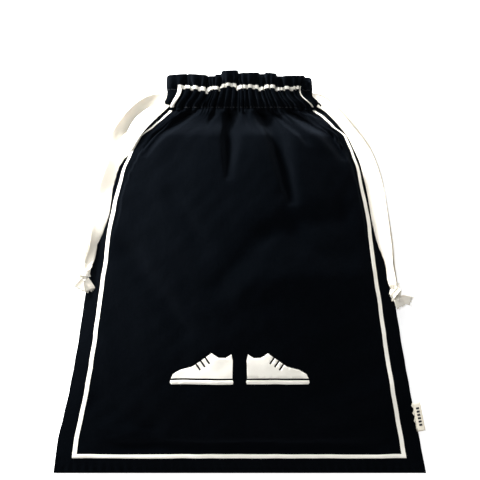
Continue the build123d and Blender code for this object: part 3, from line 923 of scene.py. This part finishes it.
def facing_cloth(gathers, columns):
    """The cloth turned in at the frill's edge, down to below the casing."""
    u = np.linspace(-CUT_HALF, CUT_HALF, columns + 1)
    rows, v = [], []
    for run in np.arange(CASING + FRILL - 0.4, -3.0, -1.4):
        inside = float(smooth(run / 1.5) * smooth((CASING - run) / 1.5))
        row = gathers.mouth(u, BODY + max(run, 0.0), inward=1.0 + FACING_DEPTH * inside)
        row[..., 1] += min(run, 0.0)
        rows.append(row)
        v.append(BODY + 2 * (CASING + FRILL) - run)
    return Cloth(u, np.array(v), np.array(rows), gathers.out)


# ---- Tapes -----------------------------------------------------------------------------
ROUTE_STEPS = 24  # samples between two control points of a route


def nurbs_line(points):
    """Points of the smooth line that a route's corner points control."""
    curve = bpy.data.curves.new("route", "CURVE")
    curve.dimensions = "3D"
    spline = curve.splines.new("NURBS")
    spline.points.add(len(points) - 1)
    for target, point in zip(spline.points, points):
        target.co = (*(c * MM for c in point), 1.0)
    spline.order_u = 3
    spline.use_endpoint_u = True
    spline.resolution_u = ROUTE_STEPS
    holder = bpy.data.objects.new("route", curve)
    mesh = bpy.data.meshes.new_from_object(holder)
    line = np.array([v.co for v in mesh.vertices], float) / MM
    bpy.data.meshes.remove(mesh)
    bpy.data.objects.remove(holder)
    bpy.data.curves.remove(curve)
    return line


def evenly(line, step):
    run = np.concatenate([[0], np.cumsum(np.linalg.norm(np.diff(line, axis=0), axis=1))])
    at = np.linspace(0, run[-1], max(2, int(round(run[-1] / step)) + 1))
    return np.stack([np.interp(at, run, line[:, k]) for k in range(3)], -1), at


def ribbon(name, line, lean, width, cup, seed, creases=0.35, thick=TAPE_THICK, level=None):
    """A flat tape along a line. lean, width and cup are lists of (share of the length, value):
    the turn about the line in degrees, the width, and how far its edges curl."""
    line, run = evenly(np.asarray(line, float), 1.2)
    share = run / run[-1]
    ahead = np.gradient(line, axis=0)
    ahead /= np.linalg.norm(ahead, axis=1, keepdims=True)
    level = np.cross(ahead, (0.0, 0.0, 1.0)) if level is None else np.tile(level, (len(line), 1))
    level /= np.linalg.norm(level, axis=1, keepdims=True)
    above = np.cross(level, ahead)
    turn = np.radians(through(*zip(*lean), share))[:, None]
    across = level * np.cos(turn) + above * np.sin(turn)
    up = above * np.cos(turn) - level * np.sin(turn)
    wide = through(*zip(*width), share)[:, None] / 2
    curl = through(*zip(*cup), share)[:, None]
    places = np.linspace(-1, 1, 11)[None, :]
    bend = curl * (places**2 - 0.35)
    distance = run[:, None]
    bend = bend + creases * soft_noise(places * 4.0, distance, 26, seed)
    bend = bend + 0.4 * creases * soft_noise(places * 8.0, distance * 0.6, 9, seed + 1)
    edge_turn = 0.5 * TAPE_THICK * np.abs(places) ** 8
    reach = wide * places * (1 - 0.05 * curl**2 / 9)
    rings = []
    for side in (1, -1):
        lift = bend + side * (thick / 2 - edge_turn * 0.7)
        spots = line[:, None] + across[:, None] * reach[..., None]
        rings.append(spots + up[:, None] * lift[..., None])
    ring = np.concatenate([rings[0], rings[1][:, ::-1]], 1)
    rows, columns = ring.shape[:2]
    faces = swept_faces(rows, columns)
    position = np.concatenate([places[0], places[0][::-1]]) * TAPE_WIDTH / 2
    flat = np.zeros((rows, columns, 3))
    flat[..., 0], flat[..., 1] = position, distance
    piece = mesh_object(name, ring.reshape(-1, 3), faces, TAPE, flat.reshape(-1, 3))
    outwards(piece)
    return piece, line


def outwards(piece):
    work = bmesh.new()
    work.from_mesh(piece.data)
    bmesh.ops.recalc_face_normals(work, faces=work.faces)
    work.to_mesh(piece.data)
    work.free()


KNOTS = {"left": (-132.2, 0.6, 44.6), "right": (133.0, -16.5, 44.0)}
KNOT_AXES = {"left": (-0.27, -0.96, -0.06), "right": (0.16, -0.98, -0.05)}


def about_knot(side, points):
    """Points given along the cord, across it and up from it, about a knot's middle."""
    ahead = np.array(KNOT_AXES[side])
    ahead /= np.linalg.norm(ahead)
    across = np.cross(ahead, (0.0, 0.0, 1.0))
    across /= np.linalg.norm(across)
    up = np.cross(across, ahead)
    return [np.array(KNOTS[side]) + ahead * a + across * b + up * c for a, b, c in points], ahead, across


def knot(side):
    """Both ends of the tape tied together in one overhand knot, pulled tight and flat."""
    pieces = []
    flip = -1 if side == "left" else 1
    for k, (shift, lift) in enumerate(((-0.9, 0.7), (0.9, -0.7))):
        spots = ((-8, shift), (-3, shift * 0.6), (3, -shift * 0.6), (7, -shift))
        line, _, _ = about_knot(side, [(a, b, lift) for a, b in spots])
        widths = [(0, 7.5), (0.35, 5.6), (0.65, 5.6), (1, 7.0)]
        lean, cup = [(0, 12), (1, -12)], [(0, 1.8), (1, 1.8)]
        core, _ = ribbon(f"core_{k}", nurbs_line(line), lean, widths, cup, 40 + k, 0.4, 1.0)
        pieces.append(core)
    turns = []
    for k in range(13):
        angle = math.radians(-150 + 40 * k)
        along = -2.2 + 0.36 * k
        reach = 4.5 + 0.25 * math.sin(2.2 * k)
        turns.append((along, flip * reach * math.cos(angle), 3.3 * math.sin(angle) + 0.2))
    line, ahead, across = about_knot(side, turns)
    level = ahead + across * 0.22 * flip
    widths = [(0, 4.6), (0.3, 6.2), (0.6, 5.2), (0.85, 5.8), (1, 4.2)]
    lean, cup = [(0, 6), (0.5, -8), (1, 10)], [(0, -0.5), (0.5, -0.9), (1, -0.4)]
    wrap, _ = ribbon("wrap", nurbs_line(line), lean, widths, cup, 44, 0.4, 1.0, tuple(level))
    pieces.append(wrap)
    over = ((-4.6, -3.2, 0.4), (-3.2, -3.4, 3.4), (-0.4, 0.2, 5.0), (2.6, 3.4, 3.2), (4.2, 3.0, 0.4))
    line, ahead, across = about_knot(side, [(a, flip * b, c) for a, b, c in over])
    level = ahead - across * 0.85 * flip
    lean, widths = [(0, 0), (1, 0)], [(0, 5.0), (0.5, 4.6), (1, 5.4)]
    cup = [(0, -0.6), (0.5, -0.9), (1, -0.6)]
    crossing, _ = ribbon(
        "crossing", nurbs_line(line), lean, widths, cup, 47, 0.35, 1.0, tuple(level)
    )
    pieces.append(crossing)
    return joined(f"{side}_cord_knot_tied", pieces)


def joined(name, pieces):
    """Several meshes as one piece."""
    work = bmesh.new()
    for piece in pieces:
        work.from_mesh(piece.data)
    mesh = bpy.data.meshes.new(name)
    work.to_mesh(mesh)
    work.free()
    mesh.materials.append(pieces[0].data.materials[0])
    for piece in pieces:
        bpy.data.meshes.remove(piece.data)
    return link(bpy.data.objects.new(name, mesh))


def frayed_end(name, start, tip, spread, seed, lean):
    """A loose end: a short tape that opens out, with threads at its cut edge."""
    chance = random.Random(seed)
    start, tip = np.array(start, float), np.array(tip, float)
    bow = np.array([0.0, 0.0, chance.uniform(0.8, 1.8)])
    line = nurbs_line([start, start * 0.6 + tip * 0.4 + bow, tip])
    body, path = ribbon(
        name + "_body", line, [(0, lean), (1, lean * 0.3)], [(0, 5.0), (0.4, 7.5), (1, spread)],
        [(0, 1.8), (0.5, 1.0), (1, 0.5)], seed, 0.55,
    )
    ahead = path[-1] - path[-3]
    ahead /= np.linalg.norm(ahead)
    level = np.cross(ahead, (0, 0, 1.0))
    level /= np.linalg.norm(level)
    pieces = [body]
    for _ in range(26):
        at = chance.uniform(-1, 1)
        root = path[-1] + level * at * spread / 2 * 0.92 - ahead * 0.8
        long = chance.uniform(1.0, 3.4)
        drift = level * chance.uniform(-0.6, 0.6) + np.array([0, 0, chance.uniform(-0.45, 0.3)])
        points = [root, root + (ahead + drift * 0.5) * long * 0.5, root + (ahead + drift) * long]
        pieces.append(tube(points, 0.16, 5))
    return pieces


def ring_about(line, level, up, radius, sides):
    """Points round each point of a line, in the plane of two directions."""
    angle = np.linspace(0, 2 * np.pi, sides, endpoint=False)
    return line[:, None] + radius * (
        level[:, None] * np.cos(angle)[None, :, None] + up[:, None] * np.sin(angle)[None, :, None]
    )


def tube(points, radius, sides):
    """A thin closed thread along a few points."""
    points = np.asarray(points, float)
    ahead = np.gradient(points, axis=0)
    ahead /= np.linalg.norm(ahead, axis=1, keepdims=True)
    level = np.cross(ahead, (0.03, 0.02, 1.0))
    level /= np.linalg.norm(level, axis=1, keepdims=True)
    ring = ring_about(points, level, np.cross(level, ahead), radius, sides)
    faces = swept_faces(len(points), sides)
    return mesh_object("thread", ring.reshape(-1, 3), faces, TAPE, ring.reshape(-1, 3))


# ---- The tapes inside the casings ------------------------------------------------------
RUN_INSIDE, LOOP_START, BRIDGE = 14.0, 48.0, 63.2
LAYERS = {"left": 6.0, "right": 6.8}  # how far below the casing's curve each loop lies
LAYER_END = 1.9  # and at the casing's narrow end
RUN_RISE = 1.9  # how far the sliding runs stay from the neck's middle, to pass the casings' ends
RUN_HIGH = 6.8  # and how far at most
RUN_UNDER = 5.8  # below the casing's curve
RUN_PULL = 30.0  # how far a drawcord slides


def in_channel(x, front, layer=None):
    """A point of a tape's line inside a casing. A run, which has no layer, is kept low and near the
    neck's middle, so that it crosses the casing's narrow end as little as it can when it slides out."""
    out = 1 if front else -1

    def rise(at):
        return SLIT + NECK_RISE * (1 - min(1.0, abs(at) / NECK_HALF) ** 3.5)

    s = min(1.0, abs(x) / NECK_HALF)
    if layer is None:
        height = max(RUN_RISE, min(RUN_HIGH, rise(abs(x) + RUN_PULL) - RUN_UNDER))
    else:
        height = rise(x) - layer * (1 - s**6) - LAYER_END * s**6
    return (x, TAPE_Y, NECK_MIDDLE + out * height)


def channel_pieces(side, sign):
    """A drawcord's two sliding runs, and the loop that stays in the casings."""
    flat = [(0, 0), (1, 0)]
    width, cup = [(0, 9.2), (1, 9.2)], [(0, 0.1), (1, 0.1)]
    across = (0.0, 1.0, 0.0)
    for which in ("front", "back"):
        xs = np.linspace(sign * RUN_INSIDE, sign * 60.5, 9)
        points = [in_channel(x, which == "front") for x in xs]
        name = f"{side}_cord_{which}_run"
        run, _ = ribbon(name + "_tape", nurbs_line(points), flat, width, cup, 90, 0.08, 0.6, level=across)
        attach(run, f"{side}_drawcord")
        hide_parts(name)
    xs = list(np.linspace(sign * LOOP_START, -sign * 58.0, 9))
    layer = LAYERS[side]
    points = [in_channel(x, True, layer) for x in xs]
    points += [(-sign * BRIDGE, TAPE_Y, NECK_MIDDLE + 1.0), (-sign * (BRIDGE + 0.4), TAPE_Y, NECK_MIDDLE)]
    points += [(-sign * BRIDGE, TAPE_Y, NECK_MIDDLE - 1.0)]
    points += [in_channel(x, False, layer) for x in reversed(xs)]
    name = f"{side}_cord_loop_tape"
    loop, _ = ribbon(name, nurbs_line(points), flat, width, cup, 94, 0.08, 0.6, level=across)
    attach(loop, "bag")
    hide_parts(f"{side}_cord_loop")


# ---- Side label ------------------------------------------------------------------------
LABEL_MIDDLE, LABEL_LENGTH, LABEL_OUT = 54.5, 26.0, 6.6  # on the cut, up the seam and out
LABEL_MARKS = 6


def side_label():
    """A folded tape in the right side seam, with a plain row of woven bars on both leaves."""
    half_v = LABEL_LENGTH * BODY / (CASING_LOW - BOTTOM) / 2
    low, high = (front_cloth.at(CUT_HALF, LABEL_MIDDLE + side * half_v) for side in (-1, 1))
    along = (high - low) / np.linalg.norm(high - low)
    out = np.array([1.0, 0, 0]) - along * along[0]
    out /= np.linalg.norm(out)
    up = np.cross(out, along)
    section = [(-2.0, 0.2), (0.0, 0.3), (1.4, 0.72), (3.0, 0.88), (5.0, 0.76)]
    bend = np.linspace(0.35, math.pi - 0.35, 7)
    section += [(LABEL_OUT + 0.45 * math.sin(a) - 0.45, 0.5 * math.cos(a)) for a in bend]
    section += [(5.0, -0.76), (3.0, -0.88), (1.4, -0.72), (0.0, -0.3), (-2.0, -0.2)]
    inner = [(x - 0.05, 0.4 * z) for x, z in section if x < LABEL_OUT - 0.9][::-1]
    ring = section + inner
    rows, points, flat = 15, [], []
    for k in range(rows):
        t = k / (rows - 1)
        wave = 0.35 * math.sin(3.1 * t + 0.4)
        tilt = 0.5 * (t - 0.5)
        for x, z in ring:
            bow = (wave + tilt) * max(0.0, x) / LABEL_OUT
            spot = low + along * LABEL_LENGTH * t + out * x + up * (z + bow)
            points.append(spot)
            flat.append((x + 3 * np.sign(z), LABEL_LENGTH * t, 0.0))
    faces = swept_faces(rows, len(ring))
    label = mesh_object("side_label_tape", points, faces, LABEL, flat)
    outwards(label)
    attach(label, "label")
    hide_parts("side_label")
    bars, faces = [], []
    for k in range(LABEL_MARKS):
        start = 5.0 + k * 3.0
        for leaf_side in (1, -1):
            first = len(bars)
            for a in (start, start + 1.8):
                t = a / LABEL_LENGTH
                bow = 0.35 * math.sin(3.1 * t + 0.4) + 0.5 * (t - 0.5)
                for x, thick in ((2.0, 0.0), (2.3, 0.2), (4.4, 0.2), (4.7, 0.0)):
                    z = leaf_side * (0.82 + thick) + bow * x / LABEL_OUT
                    bars.append(low + along * a + out * x + up * z)
            for i in range(3):
                faces.append((first + i, first + i + 1, first + i + 5, first + i + 4))
            faces.append((first, first + 4, first + 7, first + 3))
            faces.append((first + 3, first + 2, first + 1, first))
            faces.append((first + 4, first + 5, first + 6, first + 7))
    marks = mesh_object("side_label_bars", bars, faces, THREAD)
    outwards(marks)
    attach(marks, "label")


# ---- Build: the tapes, then the cloth, then what is on it ------------------------------
studio()

TAILS = {
    "left_cord_front_tail": (
        LEFT_FRONT,
        [(0, 6), (0.1, -28), (0.22, -48), (0.4, 16), (0.8, 24), (0.9, 52), (1, 8)],
    ),
    "left_cord_back_tail": (
        LEFT_BACK,
        [(0, 6), (0.1, 30), (0.24, 44), (0.42, 16), (0.8, 22), (0.9, 48), (1, 8)],
    ),
    "right_cord_front_tail": (
        RIGHT_FRONT,
        [(0, -6), (0.1, -34), (0.22, -50), (0.4, -26), (0.8, -26), (0.92, -50), (1, -8)],
    ),
    "right_cord_back_tail": (
        RIGHT_BACK,
        [(0, -6), (0.1, -34), (0.24, -46), (0.42, -20), (0.8, -24), (0.92, -46), (1, -8)],
    ),
}
TAIL_WIDTH = [(0, 9.6), (0.08, 10.6), (0.16, 12.0), (0.86, 12.0), (0.94, 9.8), (1, 6.5)]
TAIL_CUP = [(0, 0.4), (0.1, 1.0), (0.25, 0.5), (0.6, 0.3), (0.85, 0.6), (1, 2.4)]
tail_pieces, tail_lines = {}, {}
for order, (name, (route, lean)) in enumerate(TAILS.items()):
    piece, line = ribbon(name + "_tape", nurbs_line(route), lean, TAIL_WIDTH, TAIL_CUP, 60 + order)
    tail_pieces[name], tail_lines[name] = piece, line

front_grid, back_grid = simulate_body()
for grid, gathers in ((front_grid, FRONT), (back_grid, BACK)):
    calmed(grid, start_grid(gathers))
    flanged(grid, start_grid(gathers))
seam_corrected(front_grid, back_grid)
creased(front_grid)
for name, line in tail_lines.items():
    pressed_under(front_grid, line)
front_cloth = finished_panel(front_grid, FRONT, 300)
back_cloth = finished_panel(back_grid, BACK, 220)

front_piece = cloth_piece(
    "front_panel_cloth", front_cloth, COTTON, "bag", ["front_panel"], rolled_edge(FRONT, front_cloth.u)
)
back_piece = cloth_piece(
    "back_panel_cloth", back_cloth, COTTON, "bag", ["back_panel"], rolled_edge(BACK, back_cloth.u)
)
for gathers, columns, side in ((FRONT, 240, "front"), (BACK, 200, "back")):
    cloth_piece(f"{side}_facing_cloth", facing_cloth(gathers, columns), COTTON, "bag", [f"{side}_facing"])


def seam_allowance(name, u_of, v_of, count, node):
    """The two raw edges inside a seam, between the panels."""
    steps = np.linspace(0.8, 9.0, 6)
    rows = []
    for k in range(count):
        uv = [(u_of(k, a), v_of(k, a)) for a in steps]
        front = front_cloth.at(*zip(*uv))
        back = back_cloth.at(*zip(*uv))
        rows.append(front * 0.42 + back * 0.58)
    points = np.array(rows)
    points[..., 2] = np.maximum(points[..., 2], 1.2)
    flat = np.array([[(a, k * 3.0, 0.0) for a in steps] for k in range(count)])
    faces = grid_faces(count, len(steps))
    piece = mesh_object(name, points.reshape(-1, 3), faces, COTTON, flat.reshape(-1, 3))
    shell = piece.modifiers.new("thickness", "SOLIDIFY")
    shell.thickness, shell.offset = 0.9 * MM, 0.0
    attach(piece, "bag")
    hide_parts(node)
    return piece


for side, sign in (("left", -1), ("right", 1)):
    seam_allowance(
        f"{side}_seam_edges", lambda k, a: sign * (CUT_HALF - a), lambda k, a: 22 + 3.0 * k, 98,
        f"{side}_seam_allowance",
    )
seam_allowance(
    "bottom_seam_edges", lambda k, a: -150 + 3.0 * k, lambda k, a: a + 0.5, 101, "bottom_seam_allowance"
)


# ---- Stitching -------------------------------------------------------------------------
def stitching(name, cloth, v, node):
    stitch, pitch = 2.5, 3.6
    points, faces = [], []
    sides, ring_count = 6, 5
    for k in range(int(2 * CUT_HALF / pitch)):
        u = -CUT_HALF + 0.8 + k * pitch + np.linspace(0, stitch, ring_count)
        line = cloth.at(u, np.full_like(u, v), lift=0.16)
        normal = cloth.at(u, np.full_like(u, v), lift=1.16) - line
        ahead = np.gradient(line, axis=0)
        ahead /= np.linalg.norm(ahead, axis=1, keepdims=True)
        thin = np.array([0.12, 0.26, 0.28, 0.26, 0.12])[:, None, None]
        ring = ring_about(line, np.cross(ahead, normal), normal, thin, sides)
        faces += swept_faces(ring_count, sides, len(points))
        points.extend(ring.reshape(-1, 3))
    piece = mesh_object(name, points, faces, THREAD)
    outwards(piece)
    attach(piece, "bag")
    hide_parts(node)


for side, cloth in (("front", front_cloth), ("back", back_cloth)):
    stitching(f"{side}_lower_stitches", cloth, BODY + 0.3, f"{side}_lower_stitching")
    stitching(f"{side}_upper_stitches", cloth, BODY + CASING, f"{side}_upper_stitching")


# ---- Printing --------------------------------------------------------------------------
PRINT_INSET = 14.5
PRINT_WIDTH = 3.8
PRINT_TOP = BODY + CASING + 0.6
INK_LIFT = 0.30


def printed(name, polygons, node, holes=()):
    """Flat shapes on the cut, cut along the cloth's own grid and laid on the front panel."""
    work = bmesh.new()
    for points in polygons:
        work.faces.new([work.verts.new((x, y, 0)) for x, y in points])
    for hole in holes:
        middle = np.mean(hole, axis=0)
        for a, b in zip(hole, hole[1:] + hole[:1]):
            way = (b[1] - a[1], a[0] - b[0], 0.0)
            near = [f for f in work.faces if (f.calc_center_median().xy - Vector(middle)).length < 60]
            parts = near + list({e for f in near for e in f.edges})
            parts += list({v for f in near for v in f.verts})
            bmesh.ops.bisect_plane(work, geom=parts, plane_co=(*a, 0.0), plane_no=way, dist=1e-5)
        inside = []
        for face in work.faces:
            x, y, _ = face.calc_center_median()
            sides = zip(hole, hole[1:] + hole[:1])
            turns = [(b[0] - a[0]) * (y - a[1]) - (b[1] - a[1]) * (x - a[0]) for a, b in sides]
            if min(turns) > 0 or max(turns) < 0:
                inside.append(face)
        bmesh.ops.delete(work, geom=inside, context="FACES")
    low_u, high_u = min(v.co.x for v in work.verts), max(v.co.x for v in work.verts)
    low_v, high_v = min(v.co.y for v in work.verts), max(v.co.y for v in work.verts)
    for lines, low, high, axis in ((front_cloth.u, low_u, high_u, 0), (front_cloth.v, low_v, high_v, 1)):
        for place in lines[(lines > low) & (lines < high)]:
            spot, way = [0.0, 0.0, 0.0], [0.0, 0.0, 0.0]
            spot[axis], way[axis] = place, 1.0
            parts = work.verts[:] + work.edges[:] + work.faces[:]
            bmesh.ops.bisect_plane(work, geom=parts, plane_co=spot, plane_no=way, dist=1e-5)
    bmesh.ops.remove_doubles(work, verts=work.verts, dist=1e-4)
    bmesh.ops.triangulate(work, faces=[f for f in work.faces if len(f.verts) > 4])
    flat = np.array([v.co for v in work.verts], float)
    work.verts.index_update()
    faces = [[v.index for v in f.verts] for f in work.faces]
    work.free()
    points = front_cloth.at(flat[:, 0], flat[:, 1], lift=INK_LIFT)
    piece = mesh_object(name, points, faces, INK, flat)
    shell = piece.modifiers.new("ink", "SOLIDIFY")
    shell.thickness, shell.offset = 0.22 * MM, -1.0
    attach(piece, "bag")
    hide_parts(node)
    return piece


def rectangle(left, right, low, high):
    return [(left, low), (right, low), (right, high), (left, high)]


outer, inner = CUT_HALF - PRINT_INSET, CUT_HALF - PRINT_INSET - PRINT_WIDTH
foot = PRINT_INSET + PRINT_WIDTH
printed(
    "printed_border_ink",
    [
        rectangle(-outer, outer, PRINT_INSET, foot),
        rectangle(-outer, -inner, foot, PRINT_TOP),
        rectangle(inner, outer, foot, PRINT_TOP),
        rectangle(-outer, outer, PRINT_TOP, PRINT_TOP + PRINT_WIDTH),
    ],
    "printed_border",
)

SHOE_GAP, SHOE_FOOT = 11.0, 77.0
SOLE = [(0.6, 0.0), (53.0, 0.0), (54.0, 1.4), (53.6, 3.4), (0.3, 3.4), (0.0, 1.6)]
UPPER = [
    (0.8, 5.0), (0.4, 20.5), (1.6, 25.6), (6.5, 22.4), (12.5, 22.6), (18.5, 26.5), (35.0, 15.0),
    (45.5, 12.2), (51.5, 8.6), (53.2, 5.0),
]
LACES = [(22.2, 20.4), (26.2, 17.7), (30.2, 15.0)]
LACE_HALF = (3.5, 0.75)


def on_cut(x, along):
    """The flat coordinates of the front panel's point that is seen at x and a height up the bag."""
    u, v = x * 1.1, along * 1.12
    for _ in range(8):
        spot = front_cloth.at(u, v)
        u, v = u + (x - spot[0]) * 1.05, v + (along - spot[1] + BOTTOM) * 1.05
    return float(u), float(v)


def printed_shoes():
    polygons, holes = [], []
    for side in (-1, 1):
        def place(x, y):
            return on_cut(side * (SHOE_GAP / 2 + x), SHOE_FOOT + y)

        polygons += [[place(x, y) for x, y in outline] for outline in (SOLE, UPPER)]
        c, s = math.cos(math.radians(56)), math.sin(math.radians(56))
        for x, y in LACES:
            box = [(a * LACE_HALF[0], b * LACE_HALF[1]) for a, b in ((-1, -1), (1, -1), (1, 1), (-1, 1))]
            holes.append([place(x + a * c - b * s, y + a * s + b * c) for a, b in box])
    printed("printed_shoes_ink", polygons, "printed_shoes", holes)


printed_shoes()
side_label()
channel_pieces("left", -1)
channel_pieces("right", 1)

for name, piece in tail_pieces.items():
    body = name.split("_")[0] + "_drawcord"
    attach(piece, body)
    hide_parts(name)

for side in ("left", "right"):
    tied = knot(side)
    x, y, z = KNOTS[side]
    ends = {
        "left": [
            ((x - 0.5, y - 5, z), (-137.5, -13.0, 42.5), 11.0),
            ((x + 0.5, y - 5, z + 1), (-128.0, -14.0, 42.0), 10.0),
        ],
        "right": [
            ((x + 1.5, y - 4, z), (146.0, -23.5, 41.5), 8.0),
            ((x + 1.0, y - 5, z + 1), (138.0, -28.0, 41.0), 9.0),
        ],
    }[side]
    loose = []
    for k, (start, tip, spread) in enumerate(ends):
        loose += frayed_end(f"end_{k}", start, tip, spread, 80 + k, 18 if side == "left" else -18)
    tips = joined(f"{side}_cord_tips_frayed", loose)
    for piece, node in ((tied, f"{side}_cord_knot"), (tips, f"{side}_cord_tips")):
        piece.data.polygons.foreach_set("use_smooth", [True] * len(piece.data.polygons))
        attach(piece, f"{side}_drawcord")
        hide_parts(node)
    for which in ("front", "back"):
        name = f"{side}_cord_{which}_tail"
        route = TAILS[name][0]
        line = tail_lines[name]
